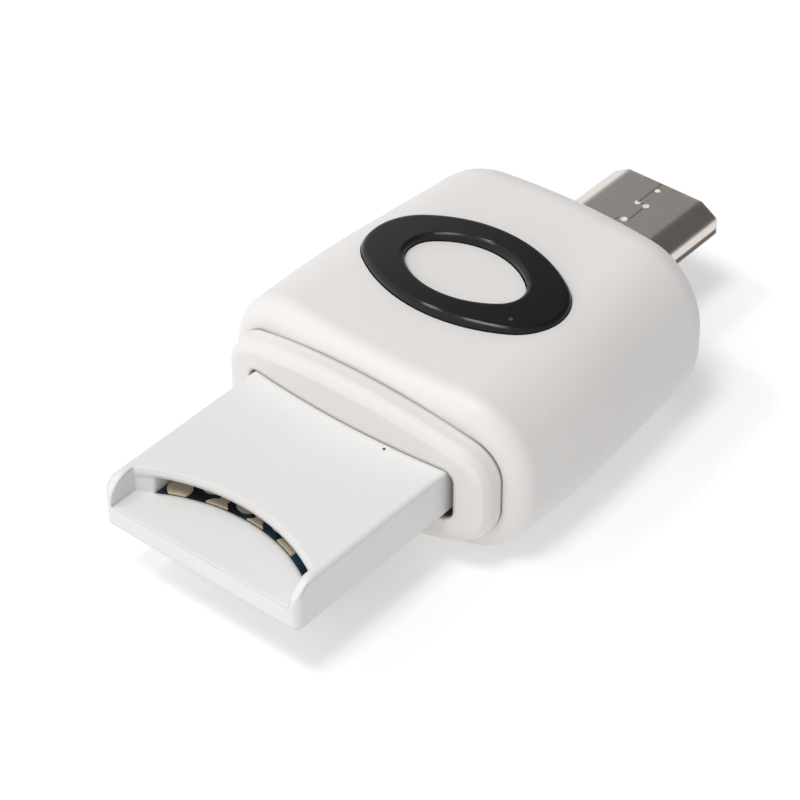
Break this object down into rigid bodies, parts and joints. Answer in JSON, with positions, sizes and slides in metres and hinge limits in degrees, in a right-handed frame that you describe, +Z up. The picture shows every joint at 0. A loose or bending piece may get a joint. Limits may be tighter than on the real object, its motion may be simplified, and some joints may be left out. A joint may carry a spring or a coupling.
{
  "type": "usb memory card reader",
  "caption": "White pillow-shaped card reader with a flat plug tongue that takes a small memory card, a black oval trim ring on top and a small metal plug at the rear.",
  "frame": {"origin": "middle of the underside: halfway along the overall length, on the table plane, on the centre line", "axes": "+X across the reader, +Y towards the small metal plug, +Z up from the table"},
  "size_m": [0.0188, 0.0368, 0.0097],
  "materials": {
    "shell_plastic": "warm white, satin",
    "tongue_plastic": "white, satin",
    "trim_plastic": "black, polished",
    "board": "dark solder mask",
    "contact_gold": "thin gold plating",
    "plug_steel": "nickel plated, brushed",
    "spring_steel": "plain",
    "insulator": "black, plain",
    "chip_resin": "black resin",
    "crystal_can": "satin",
    "capacitor": "tan ceramic",
    "resistor": "dark ceramic"
  },
  "bodies": {
    "root": {"capacitor_1": "capacitor", "capacitor_2": "capacitor", "capacitor_3": "capacitor", "card_contact_1": "contact_gold", "card_contact_2": "contact_gold", "card_contact_3": "contact_gold", "card_contact_4": "contact_gold", "card_contact_5": "contact_gold", "card_contact_6": "contact_gold", "card_contact_7": "contact_gold", "card_contact_8": "contact_gold", "card_tongue": "tongue_plastic", "circuit_board": "board", "clock_crystal": "crystal_can", "controller_chip": "chip_resin", "front_collar": "shell_plastic", "housing": "shell_plastic", "latch_spring_left": "spring_steel", "latch_spring_right": "spring_steel", "plug_insulator": "insulator", "plug_pin_1": "contact_gold", "plug_pin_2": "contact_gold", "plug_pin_3": "contact_gold", "plug_pin_4": "contact_gold", "plug_pin_5": "contact_gold", "plug_shell": "plug_steel", "resistor_1": "resistor", "resistor_2": "resistor", "trim_ring": "trim_plastic", "usb_contact_1": "contact_gold", "usb_contact_2": "contact_gold", "usb_contact_3": "contact_gold", "usb_contact_4": "contact_gold"}
  },
  "joints": []
}
